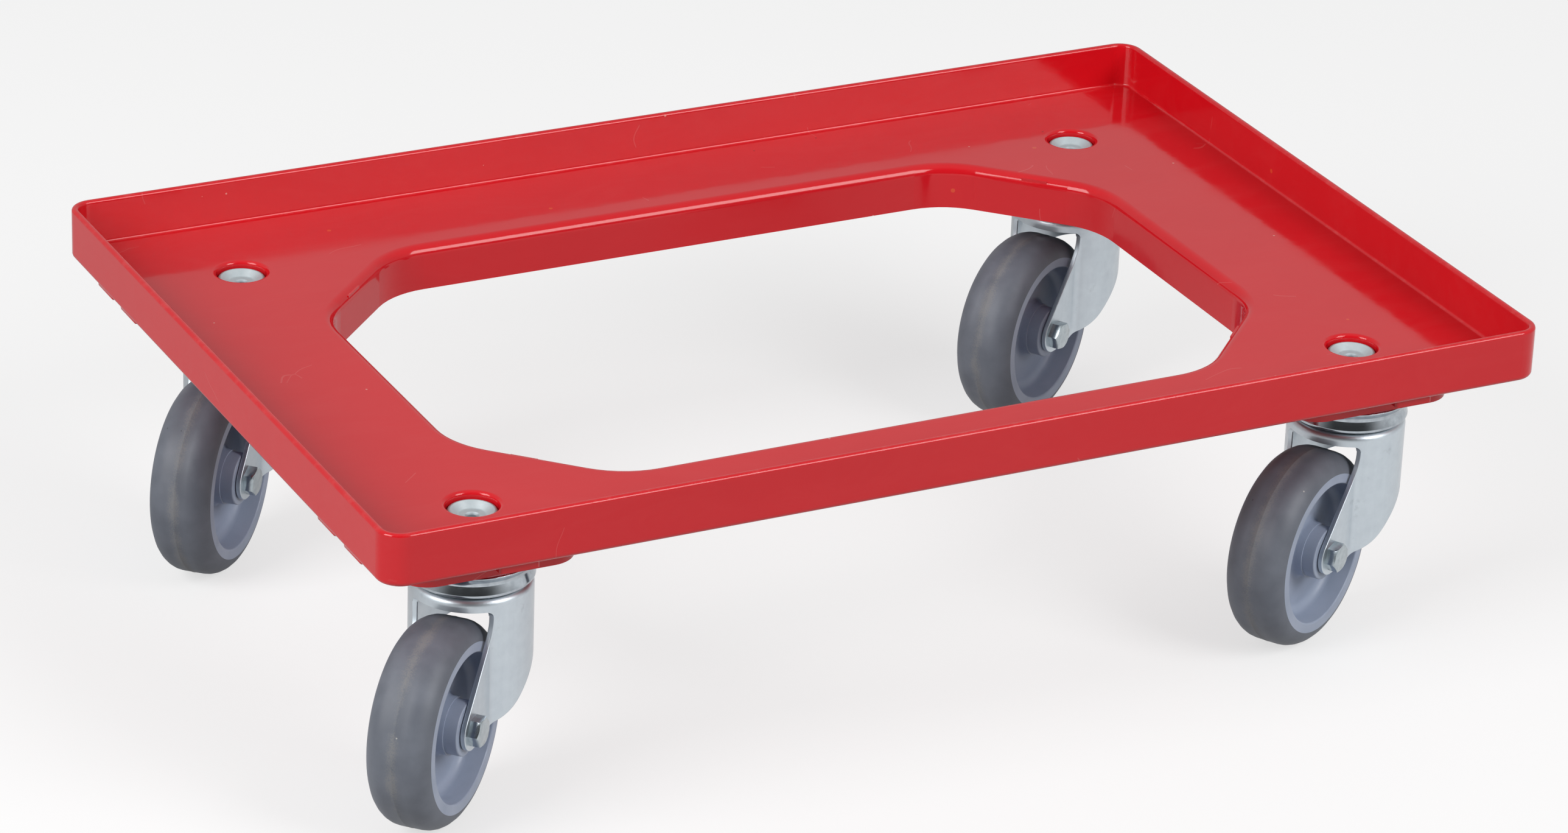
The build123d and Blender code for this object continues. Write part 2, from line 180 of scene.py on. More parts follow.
@dataclass(frozen=True)
class RedAbs:
    """Injection-moulded ABS: a deep red under a gloss that mirrors the room, handled and a little dusty."""

    deep: str = "#CC111C"
    light: str = "#D41621"
    rubbed: str = "#DE6E6C"
    index: float = 1.45
    glossy: float = 0.09
    hazy: float = 0.2
    tone_size: float = 85 * MM
    ripple_size: float = 19 * MM
    ripple_depth: float = 0.4 * MM
    ripple_strength: float = 0.22
    smear_size: float = 30 * MM
    smear_turn: float = 0.5
    smear_stretch: float = 0.35
    smear_start: float = 0.48
    smear_full: float = 0.74
    smear_cover: float = 0.05
    scratch_size: float = 70 * MM
    scratch_bend: float = 0.06
    scratch_width: float = 0.0035
    scratch_cover: float = 0.28
    patch_size: float = 42 * MM
    patch_rare: float = 0.62
    wear_size: float = 9 * MM
    wear_start: float = 0.5
    wear_full: float = 0.72
    wear_cover: float = 0.2
    rim_inner_x: float = 302.6 * MM
    rim_inner_y: float = 202.6 * MM
    rim_outer_x: float = 306.0 * MM
    rim_outer_y: float = 206.0 * MM
    rim_edge: float = 22.3 * MM
    foot_start: float = 0.05 * MM
    foot_height: float = 1.1 * MM
    speck_size: float = 13 * MM
    specks: tuple[Marks, ...] = (
        Marks("#E6C3B4", rare=0.88, radius=0.042, shift=0.0, cover=0.5),
        Marks("#4A1512", rare=0.94, radius=0.045, shift=0.37, cover=0.6),
        Marks("#E2602F", rare=0.975, radius=0.09, shift=0.71, cover=0.5),
    )

    def material(self) -> Material:
        """Build the deck's plastic.

        Returns:
            The material.
        """
        material, tree, shader = new_material("Moulded red ABS", IOR=self.index)
        place = add(tree, "TexCoord").outputs["Object"]
        tone = add(tree, "TexNoise", {"Vector": place, "Scale": per_metre(self.tone_size), "Detail": 3.0})
        colour = add(
            tree,
            "Mix",
            {"Factor": tone.outputs["Fac"], 6: linear(self.deep), 7: linear(self.light)},
            data_type="RGBA",
        ).outputs[2]
        smear = self.smears(tree, place)
        layers = [
            (smear, self.rubbed, self.smear_cover),
            (self.scratches(tree, place), self.rubbed, self.scratch_cover),
            (self.worn_edges(tree, place), self.rubbed, self.wear_cover),
        ]
        for marks in self.specks:
            layers.append((self.scattered(tree, place, marks), marks.colour, marks.cover))
        for mask, tint, cover in layers:
            share = add(tree, "Math", {0: mask, 1: cover}, operation="MULTIPLY")
            colour = add(
                tree, "Mix", {"Factor": share.outputs[0], 6: colour, 7: linear(tint)}, data_type="RGBA"
            ).outputs[2]
        tree.links.new(colour, shader.inputs["Base Color"])
        rough = add(tree, "MapRange", {"Value": smear, "To Min": self.glossy, "To Max": self.hazy})
        tree.links.new(rough.outputs["Result"], shader.inputs["Roughness"])
        ripple = add(
            tree, "TexNoise", {"Vector": place, "Scale": per_metre(self.ripple_size), "Detail": 3.0}
        )
        bump = add(
            tree,
            "Bump",
            {
                "Height": ripple.outputs["Fac"],
                "Strength": self.ripple_strength,
                "Distance": self.ripple_depth,
            },
        )
        tree.links.new(bump.outputs["Normal"], shader.inputs["Normal"])
        return material

    def smears(self, tree: Tree, place: Socket) -> Socket:
        """Mask the hazy marks that wiping and handling leave on gloss.

        Args:
            tree: The material's node tree.
            place: Coordinates in metres.

        Returns:
            The mask, from 0 to 1.
        """
        wiped = add(
            tree,
            "Mapping",
            {
                "Vector": place,
                "Rotation": (0.0, 0.0, self.smear_turn),
                "Scale": (self.smear_stretch, 1.0, 1.0),
            },
        )
        noise = add(
            tree,
            "TexNoise",
            {
                "Vector": wiped.outputs[0],
                "Scale": per_metre(self.smear_size),
                "Detail": 6.0,
                "Roughness": 0.62,
                "Distortion": 0.8,
            },
        )
        mask = add(
            tree,
            "MapRange",
            {"Value": noise.outputs["Fac"], "From Min": self.smear_start, "From Max": self.smear_full},
        )
        return mask.outputs["Result"]

    def scattered(self, tree: Tree, place: Socket, marks: Marks) -> Socket:
        """Mask small scattered specks, drawn a millimetre or two wide so that they show.

        Args:
            tree: The material's node tree.
            place: Coordinates in metres.
            marks: How rare and how wide the specks are as shares of their cells, and the offset in
                metres that gives them their own places.

        Returns:
            The mask, 0 or 1.
        """
        moved = add(tree, "Mapping", {"Vector": place, "Location": (marks.shift, marks.shift, marks.shift)})
        cells = add(
            tree, "TexVoronoi", {"Vector": moved.outputs[0], "Scale": per_metre(self.speck_size)}
        )
        split = add(tree, "SeparateColor", {"Color": cells.outputs["Color"]})
        chosen = add(tree, "Math", {0: split.outputs["Red"], 1: marks.rare}, operation="GREATER_THAN")
        near = add(tree, "Math", {0: cells.outputs["Distance"], 1: marks.radius}, operation="LESS_THAN")
        both = add(tree, "Math", {0: chosen.outputs[0], 1: near.outputs[0]}, operation="MULTIPLY")
        return both.outputs[0]

    def scratches(self, tree: Tree, place: Socket) -> Socket:
        """Mask a few hair-thin scratches, drawn half a millimetre wide so that they show.

        Args:
            tree: The material's node tree.
            place: Coordinates in metres.

        Returns:
            The mask, 0 or 1.
        """
        scale = per_metre(self.scratch_size)
        bend = add(tree, "TexNoise", {"Vector": place, "Scale": scale, "Detail": 2.0})
        bent = add(
            tree,
            "Mix",
            {"Factor": self.scratch_bend, 4: place, 5: bend.outputs["Color"]},
            data_type="VECTOR",
        )
        cells = add(
            tree, "TexVoronoi", {"Vector": bent.outputs[1], "Scale": scale}, feature="DISTANCE_TO_EDGE"
        )
        line = add(
            tree, "Math", {0: cells.outputs["Distance"], 1: self.scratch_width}, operation="LESS_THAN"
        )
        patch = add(tree, "TexNoise", {"Vector": place, "Scale": per_metre(self.patch_size), "Detail": 1.0})
        some = add(tree, "Math", {0: patch.outputs["Fac"], 1: self.patch_rare}, operation="GREATER_THAN")
        both = add(tree, "Math", {0: line.outputs[0], 1: some.outputs[0]}, operation="MULTIPLY")
        return both.outputs[0]

    def worn_edges(self, tree: Tree, place: Socket) -> Socket:
        """Mask the scuffed top of the rim and the dust in the corner at its foot.

        Args:
            tree: The material's node tree.
            place: Coordinates in metres.

        Returns:
            The mask, from 0 to 1.
        """
        split = add(tree, "SeparateXYZ", {"Vector": place})
        height = split.outputs["Z"]
        near: list[Socket] = []
        within: list[Socket] = []
        walls = (
            ("X", self.rim_inner_x, self.rim_outer_x),
            ("Y", self.rim_inner_y, self.rim_outer_y),
        )
        for axis, inner, outer in walls:
            away = add(tree, "Math", {0: split.outputs[axis]}, operation="ABSOLUTE").outputs[0]
            near.append(add(tree, "Math", {0: away, 1: inner}, operation="GREATER_THAN").outputs[0])
            within.append(add(tree, "Math", {0: away, 1: outer}, operation="LESS_THAN").outputs[0])
        beside = add(tree, "Math", {0: near[0], 1: near[1]}, operation="MAXIMUM")
        inside = add(tree, "Math", {0: within[0], 1: within[1]}, operation="MULTIPLY")
        by_rim = add(tree, "Math", {0: beside.outputs[0], 1: inside.outputs[0]}, operation="MULTIPLY")
        low = add(tree, "Math", {0: height, 1: self.foot_height}, operation="LESS_THAN")
        above = add(tree, "Math", {0: height, 1: self.foot_start}, operation="GREATER_THAN")
        foot = add(tree, "Math", {0: low.outputs[0], 1: above.outputs[0]}, operation="MULTIPLY")
        corner = add(tree, "Math", {0: foot.outputs[0], 1: by_rim.outputs[0]}, operation="MULTIPLY")
        top = add(tree, "Math", {0: height, 1: self.rim_edge}, operation="GREATER_THAN")
        either = add(tree, "Math", {0: corner.outputs[0], 1: top.outputs[0]}, operation="MAXIMUM")
        noise = add(
            tree,
            "TexNoise",
            {"Vector": place, "Scale": per_metre(self.wear_size), "Detail": 5.0, "Roughness": 0.7},
        )
        broken = add(
            tree,
            "MapRange",
            {"Value": noise.outputs["Fac"], "From Min": self.wear_start, "From Max": self.wear_full},
        )
        worn = add(tree, "Math", {0: either.outputs[0], 1: broken.outputs["Result"]}, operation="MULTIPLY")
        return worn.outputs[0]


@dataclass(frozen=True)
class ZincPlate:
    """Zinc-plated steel: a cool blue-grey metal, faintly banded by drawing and mottled by the bath."""

    name: str = "Zinc-plated drawn sheet"
    dull: str = "#C6D0D8"
    bright: str = "#D0DAE1"
    stain: str = "#8F9AA2"
    stain_size: float = 11 * MM
    stain_start: float = 0.62
    stain_full: float = 0.74
    stain_cover: float = 0.35
    smooth: float = 0.38
    rough: float = 0.45
    skin: float = 0.6
    skin_rough: float = 0.11
    skin_index: float = 1.8
    band_width: float = 3.2 * MM
    band_length: float = 60 * MM
    banding: float = 0.3
    mottle_size: float = 7 * MM
    tone_start: float = 0.4
    tone_full: float = 0.9
    bump: float = 0.02
    bump_depth: float = 0.05 * MM

    def material(self) -> Material:
        """Build the plated metal.

        Returns:
            The material.
        """
        material, tree, shader = new_material(
            self.name,
            Metallic=1.0,
            Coat_Weight=self.skin,
            Coat_Roughness=self.skin_rough,
            Coat_IOR=self.skin_index,
        )
        place = add(tree, "TexCoord").outputs["Object"]
        width, length = per_metre(self.band_width), per_metre(self.band_length)
        drawn = add(tree, "Mapping", {"Vector": place, "Scale": (width, width, length)})
        bands = add(tree, "TexNoise", {"Vector": drawn.outputs[0], "Scale": 1.0, "Detail": 3.0})
        mottle = add(
            tree,
            "TexNoise",
            {"Vector": place, "Scale": per_metre(self.mottle_size), "Detail": 5.0, "Roughness": 0.6},
        )
        pattern = add(
            tree,
            "Math",
            {0: bands.outputs["Fac"], 1: self.banding, 2: mottle.outputs["Fac"]},
            operation="MULTIPLY_ADD",
        ).outputs[0]
        share = add(
            tree, "MapRange", {"Value": pattern, "From Min": self.tone_start, "From Max": self.tone_full}
        ).outputs["Result"]
        colour = add(
            tree, "Mix", {"Factor": share, 6: linear(self.dull), 7: linear(self.bright)}, data_type="RGBA"
        ).outputs[2]
        spots = add(
            tree,
            "TexNoise",
            {"Vector": place, "Scale": per_metre(self.stain_size), "Detail": 6.0, "Roughness": 0.65},
        )
        spread = add(
            tree,
            "MapRange",
            {
                "Value": spots.outputs["Fac"],
                "From Min": self.stain_start,
                "From Max": self.stain_full,
                "To Max": self.stain_cover,
            },
        )
        colour = add(
            tree,
            "Mix",
            {"Factor": spread.outputs["Result"], 6: colour, 7: linear(self.stain)},
            data_type="RGBA",
        ).outputs[2]
        tree.links.new(self.marked(tree, place, colour), shader.inputs["Base Color"])
        rough = add(tree, "MapRange", {"Value": share, "To Min": self.rough, "To Max": self.smooth})
        tree.links.new(rough.outputs["Result"], shader.inputs["Roughness"])
        bump = add(
            tree, "Bump", {"Height": pattern, "Strength": self.bump, "Distance": self.bump_depth}
        )
        tree.links.new(bump.outputs["Normal"], shader.inputs["Normal"])
        return material

    def marked(self, tree: Tree, place: Socket, colour: Socket) -> Socket:
        """Leave the plate's colour as it is: a plate with marks of its own lays them here."""
        return colour


@dataclass(frozen=True)
class BoltHead(ZincPlate):
    """Zinc plate of the fixing bolts, with painted shade in the small hollow of each head and a painted
    reflection of the red hole wall, pinkish and darker, on its rounded edge.
    """

    castor_x: float = 237.4 * MM
    castor_y: float = 144.2 * MM
    # Painted shade: the hollow darkens towards its middle, as a recess falls into shade.
    hollow_painted_shade: str = "#56616E"
    hollow_cover: float = 0.75
    hollow: float = 2.2 * MM
    hollow_edge: float = 3.6 * MM
    # Painted reflection: the rounded edge is tinted pinkish grey and darker, standing in for the red wall
    # of the hole mirrored in it.
    edge_painted_reflection: str = "#A09694"
    ring_cover: float = 0.5
    ring: float = 10.3 * MM
    ring_edge: float = 10.7 * MM

    def marked(self, tree: Tree, place: Socket, colour: Socket) -> Socket:
        """Lay the painted shade in the hollow and the painted reflection on the rounded edge about the four
        bolts' axes.

        Args:
            tree: The material's node tree.
            place: Coordinates in metres.
            colour: The plate's colour.

        Returns:
            The colour with the painted shade and the painted reflection.
        """
        axis = (self.castor_x, self.castor_y, 0.0)
        quarter = add(tree, "VectorMath", {0: place}, operation="ABSOLUTE")
        away = add(tree, "VectorMath", {0: quarter.outputs[0], 1: axis}, operation="SUBTRACT")
        level = add(tree, "VectorMath", {0: away.outputs[0], 1: (1.0, 1.0, 0.0)}, operation="MULTIPLY")
        radius = add(tree, "VectorMath", {0: level.outputs[0]}, operation="LENGTH").outputs["Value"]
        # Painted shade in the hollow, then the painted red reflection on the rounded edge.
        rings = (
            (self.hollow_edge, self.hollow, self.hollow_cover, self.hollow_painted_shade),
            (self.ring, self.ring_edge, self.ring_cover, self.edge_painted_reflection),
        )
        for start, end, cover, tint in rings:
            share = add(
                tree, "MapRange", {"Value": radius, "From Min": start, "From Max": end, "To Max": cover}
            )
            colour = add(
                tree,
                "Mix",
                {"Factor": share.outputs["Result"], 6: colour, 7: linear(tint)},
                data_type="RGBA",
            ).outputs[2]
        return colour


@dataclass(frozen=True)
class GreyRubber:
    """Moulded thermoplastic rubber: matt mid grey, with floor dust rubbed into the middle of the tread."""

    clean: str = "#60656F"
    worn: str = "#6D727C"
    dust: str = "#8E8B86"
    index: float = 1.5
    matt: float = 0.52
    dusted: float = 0.85
    cloud_size: float = 16 * MM
    cloud_start: float = 0.35
    cloud_full: float = 0.65
    # Real grit is finer: the grain is drawn this coarse so that it shows.
    grain_size: float = 0.7 * MM
    grain_depth: float = 0.06 * MM
    grain_strength: float = 0.25
    dust_reach: float = 7.2 * MM
    dust_start: float = 0.14
    dust_full: float = 0.28
    dust_cover: float = 0.42
    speck_size: float = 7 * MM
    speck_radius: float = 0.06
    speck_cover: float = 0.6
    specks: tuple[tuple[str, float, str], ...] = (("Red", 0.84, "#C9C6BE"), ("Green", 0.93, "#2A2B2E"))

    def material(self) -> Material:
        """Build the tyre's rubber, whose UV map runs in metres: around, and across from the middle.

        Returns:
            The material.
        """
        material, tree, shader = new_material("Moulded grey rubber", IOR=self.index)
        coordinates = add(tree, "TexCoord")
        place = coordinates.outputs["Object"]
        cloud = add(
            tree, "TexNoise", {"Vector": place, "Scale": per_metre(self.cloud_size), "Detail": 5.0}
        ).outputs["Fac"]
        grain = add(
            tree, "TexNoise", {"Vector": place, "Scale": per_metre(self.grain_size), "Detail": 3.0}
        ).outputs["Fac"]
        spread = add(
            tree, "MapRange", {"Value": cloud, "From Min": self.cloud_start, "From Max": self.cloud_full}
        )
        colour = add(
            tree,
            "Mix",
            {"Factor": spread.outputs["Result"], 6: linear(self.clean), 7: linear(self.worn)},
            data_type="RGBA",
        ).outputs[2]
        across = add(tree, "SeparateXYZ", {"Vector": coordinates.outputs["UV"]}).outputs["Y"]
        away = add(tree, "Math", {0: across}, operation="ABSOLUTE")
        tread = add(
            tree, "MapRange", {"Value": away.outputs[0], "From Min": self.dust_reach, "From Max": 0.0}
        )
        lying = add(tree, "Math", {0: tread.outputs["Result"], 1: grain}, operation="MULTIPLY")
        cloudy = add(tree, "Math", {0: lying.outputs[0], 1: cloud}, operation="MULTIPLY")
        dusty = add(
            tree,
            "MapRange",
            {
                "Value": cloudy.outputs[0],
                "From Min": self.dust_start,
                "From Max": self.dust_full,
                "To Max": self.dust_cover,
            },
        ).outputs["Result"]
        colour = add(
            tree, "Mix", {"Factor": dusty, 6: colour, 7: linear(self.dust)}, data_type="RGBA"
        ).outputs[2]
        cells = add(tree, "TexVoronoi", {"Vector": place, "Scale": per_metre(self.speck_size)})
        split = add(tree, "SeparateColor", {"Color": cells.outputs["Color"]})
        near = add(
            tree, "Math", {0: cells.outputs["Distance"], 1: self.speck_radius}, operation="LESS_THAN"
        )
        for channel, rare, tint in self.specks:
            chosen = add(tree, "Math", {0: split.outputs[channel], 1: rare}, operation="GREATER_THAN")
            both = add(tree, "Math", {0: chosen.outputs[0], 1: near.outputs[0]}, operation="MULTIPLY")
            share = add(tree, "Math", {0: both.outputs[0], 1: self.speck_cover}, operation="MULTIPLY")
            colour = add(
                tree, "Mix", {"Factor": share.outputs[0], 6: colour, 7: linear(tint)}, data_type="RGBA"
            ).outputs[2]
        tree.links.new(colour, shader.inputs["Base Color"])
        rough = add(tree, "MapRange", {"Value": dusty, "To Min": self.matt, "To Max": self.dusted})
        tree.links.new(rough.outputs["Result"], shader.inputs["Roughness"])
        bump = add(
            tree, "Bump", {"Height": grain, "Strength": self.grain_strength, "Distance": self.grain_depth}
        )
        tree.links.new(bump.outputs["Normal"], shader.inputs["Normal"])
        return material


@dataclass(frozen=True)
class MouldedPlastic:
    """Satin moulded plastic: even colour with faint flow marks and a soft skin."""

    name: str
    dark: str
    light: str
    index: float = 1.49
    smooth: float = 0.34
    rough: float = 0.46
    flow_size: float = 22 * MM
    flow_start: float = 0.3
    flow_full: float = 0.7
    # The real skin is finer: it is drawn this coarse so that it shows.
    skin_size: float = 0.9 * MM
    skin_depth: float = 0.05 * MM
    skin_strength: float = 0.06

    def material(self) -> Material:
        """Build the plastic.

        Returns:
            The material.
        """
        material, tree, shader = new_material(self.name, IOR=self.index)
        place = add(tree, "TexCoord").outputs["Object"]
        flow = add(
            tree,
            "TexNoise",
            {"Vector": place, "Scale": per_metre(self.flow_size), "Detail": 4.0, "Distortion": 0.6},
        )
        share = add(
            tree,
            "MapRange",
            {"Value": flow.outputs["Fac"], "From Min": self.flow_start, "From Max": self.flow_full},
        ).outputs["Result"]
        colour = add(
            tree, "Mix", {"Factor": share, 6: linear(self.dark), 7: linear(self.light)}, data_type="RGBA"
        )
        tree.links.new(colour.outputs[2], shader.inputs["Base Color"])
        rough = add(tree, "MapRange", {"Value": share, "To Min": self.rough, "To Max": self.smooth})
        tree.links.new(rough.outputs["Result"], shader.inputs["Roughness"])
        skin = add(tree, "TexNoise", {"Vector": place, "Scale": per_metre(self.skin_size), "Detail": 1.0})
        bump = add(
            tree,
            "Bump",
            {"Height": skin.outputs["Fac"], "Strength": self.skin_strength, "Distance": self.skin_depth},
        )
        tree.links.new(bump.outputs["Normal"], shader.inputs["Normal"])
        return material


@dataclass(frozen=True)
class Finishes:
    """Every material of the object, built once."""

    deck: Material
    sheet: Material
    bright: Material
    fastener: Material
    head: Material
    ball: Material
    bush: Material
    rim: Material
    tyre: Material

    @classmethod
    def build(cls) -> "Finishes":
        """Build all the materials.

        Returns:
            The set of finishes.
        """
        return cls(
            # Moulded and glossy: deep red where it mirrors itself, paler where it mirrors the room.
            deck=RedAbs().material(),
            # Drawn and plated: a pale satin sheet with soft vertical bands.
            sheet=ZincPlate().material(),
            # Pressed smooth and plated: mirrors the room in dark and bright bands.
            bright=ZincPlate(
                "Bright zinc plate",
                "#A4ACB3",
                "#C4CCD3",
                smooth=0.08,
                rough=0.17,
                skin=0.0,
                mottle_size=4 * MM,
                bump=0.04,
            ).material(),
            # Cold-headed and plated: small facets that catch the lamps one by one.
            fastener=ZincPlate(
                "Zinc-plated fastener",
                "#A7B2B8",
                "#C3CDD2",
                smooth=0.18,
                rough=0.28,
                skin=0.3,
                mottle_size=3 * MM,
            ).material(),
            # Barrel-plated heads: a pale, matt disc with painted shade in its hollow and a painted
            # reflection on its edge.
            head=BoltHead(
                "Matt zinc plate",
                "#C2CDD1",
                "#CFD8DB",
                smooth=0.6,
                rough=0.68,
                skin=0.08,
                mottle_size=4 * MM,
            ).material(),
            # Ground and polished: near mirrors in the shade of the race.
            ball=ZincPlate(
                "Polished bearing steel", "#A9A9AA", "#C2C2C2", smooth=0.05, rough=0.1, skin=0.0, bump=0.0
            ).material(),
            # Moulded without dye: a warm off-white.
            bush=MouldedPlastic("Natural nylon", "#CFC9BA", "#DAD5C8").material(),
            # Moulded satin: a light blue-grey that shades softly over the dish.
            rim=MouldedPlastic("Grey polypropylene", "#96A1B5", "#A2ACC0").material(),
            # Moulded over the rim: matt grey, dusty where it runs on the floor.
            tyre=GreyRubber().material(),
        )


# Modelling
@dataclass(frozen=True)
class Turn:
    """One corner of a turned section: its radius, its height and the radius that rounds it."""

    radius: float
    height: float
    rounding: float = 0.0

    def point(self) -> Vector:
        """The corner's place in the section's plane."""
        return Vector((self.radius, 0.0, self.height))


def lathe(section: Sequence[Turn]) -> Shape:
    """Turn a closed section about Z.

    Args:
        section: The section's corners in order, all of them away from the axis.

    Returns:
        The closed shape, with its faces outwards.
    """
    shape = bmesh.new()
    corners = [shape.verts.new(turn.point()) for turn in section]
    shape.faces.new(corners)
    for index, turn in enumerate(section):
        if turn.rounding > 0.0:
            before = section[index - 1].point() - turn.point()
            after = section[(index + 1) % len(section)].point() - turn.point()
            bmesh.ops.bevel(
                shape,
                geom=[corners[index]],
                offset=turn.rounding / math.tan(before.angle(after) / 2),
                offset_type="OFFSET",
                segments=ROUND_STEPS,
                profile=0.5,
                affect="VERTICES",
                material=-1,
            )
    bmesh.ops.delete(shape, geom=shape.faces[:], context="FACES_ONLY")
    bmesh.ops.spin(
        shape,
        geom=shape.verts[:] + shape.edges[:],
        cent=(0.0, 0.0, 0.0),
        axis=UP,
        dvec=(0.0, 0.0, 0.0),
        angle=math.tau,
        steps=LATHE_STEPS,
        use_merge=True,
    )
    bmesh.ops.remove_doubles(shape, verts=shape.verts[:], dist=SAME_POINT)
    bmesh.ops.recalc_face_normals(shape, faces=shape.faces[:])
    return shape


def lay_around(shape: Shape, radius: float) -> None:
    """Give a turned shape a UV map in metres: around its axis, and along it from the middle.

    Args:
        shape: A shape about Z.
        radius: Radius at which the way around is measured.
    """
    layer = shape.loops.layers.uv.new("around")
    for face in shape.faces:
        middle = face.calc_center_median()
        start = math.atan2(middle.y, middle.x)
        for loop in face.loops:
            point = loop.vert.co
            turn = math.remainder(math.atan2(point.y, point.x) - start, math.tau)
            loop[layer].uv = ((start + turn) * radius, point.z)


def softened(node: str, width: float, sharp: float) -> Shape:
    """Copy a CAD node with its flat faces whole and its sharp edges rounded off.

    Args:
        node: Name of the CAD node.
        width: Width of the rounding.
        sharp: Angle between two faces from which their edge counts as sharp.

    Returns:
        The copy.
    """
    shape = bmesh.new()
    shape.from_mesh(frame["nodes"][node].data)
    bmesh.ops.remove_doubles(shape, verts=shape.verts[:], dist=SAME_POINT)
    bmesh.ops.dissolve_limit(
        shape,
        angle_limit=FLAT_ANGLE,
        verts=shape.verts[:],
        edges=shape.edges[:],
        use_dissolve_boundaries=False,
    )
    edges = [edge for edge in shape.edges if edge.is_manifold and edge.calc_face_angle() > sharp]
    bmesh.ops.bevel(
        shape,
        geom=edges,
        offset=width,
        offset_type="OFFSET",
        segments=EDGE_STEPS,
        profile=0.5,
        affect="EDGES",
        material=-1,
        clamp_overlap=True,
    )
    return shape


def show(
    name: str, shape: Shape, body: str, node: str | None, material: Material
) -> None:
    """Turn a finished shape into a piece that rides on a body, in place of a CAD node or beside it.

    Args:
        name: The piece's name.
        shape: The shape in the part's frame, which is used up.
        body: Name of the CAD body.
        node: Name of the CAD node that the piece stands for, if it does.
        material: The piece's finish.
    """
    mesh = bpy.data.meshes.new(name)
    shape.to_mesh(mesh)
    shape.free()
    mesh.shade_smooth()
    mesh.set_sharp_from_angle(angle=SHADE_ANGLE)
    mesh.materials.append(material)
    piece = bpy.data.objects.new(name, mesh)
    bpy.context.scene.collection.objects.link(piece)
    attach(piece, body)
    if node:
        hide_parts(node)
    LOG.info("%s rides on %s with %d faces", name, body, len(mesh.polygons))


def dress(node: str, material: Material) -> None:
    """Give a CAD node its finish.

    Args:
        node: Name of the CAD node.
        material: The finish.
    """
    mesh = frame["nodes"][node].data
    mesh.materials.clear()
    mesh.materials.append(material)
    LOG.info("%s is dressed in %s", node, material.name)


# Sub-assemblies
@dataclass(frozen=True)
class Deck:
    """The moulded deck, whose CAD shape stays, with the rounded outer ends of its end lugs."""

    finishes: Finishes
    lug_inset: float = 3.4 * MM
    lug_thickness: float = 4.0 * MM
    lug_width: float = 20.7 * MM
    lug_pitch: float = 31.5 * MM
    lug_bottom: float = -7.6 * MM
    lug_top: float = -1.0 * MM
    lug_round: float = 1.2 * MM

    def build(self) -> None:
        """Dress the deck and round off its lugs."""
        dress("deck_frame", self.finishes.deck)
        self.build_lug_ends()

    def build_lug_ends(self) -> None:
        """Set a rounded end on each of the two lugs that show under the deck's end at every corner."""
        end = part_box("deck_frame")[1].x - self.lug_inset - self.lug_thickness / 2
        height = self.lug_top - self.lug_bottom
        size = Matrix.Diagonal((self.lug_thickness, self.lug_width, height, 1.0))
        shape = bmesh.new()
        for corner in Corner:
            low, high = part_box(f"swivel_pan_{corner.value}")
            middle = (low + high) / 2
            for side in (-1, 1):
                across = middle.y + side * self.lug_pitch / 2
                place = Vector((math.copysign(end, middle.x), across, self.lug_bottom + height / 2))
                bmesh.ops.create_cube(shape, size=1.0, matrix=Matrix.Translation(place) @ size)
        bmesh.ops.bevel(
            shape,
            geom=shape.edges[:],
            offset=self.lug_round,
            offset_type="OFFSET",
            segments=LUG_STEPS,
            profile=0.5,
            affect="EDGES",
            material=-1,
        )
        show("moulded_lug_ends", shape, "deck", None, self.finishes.deck)


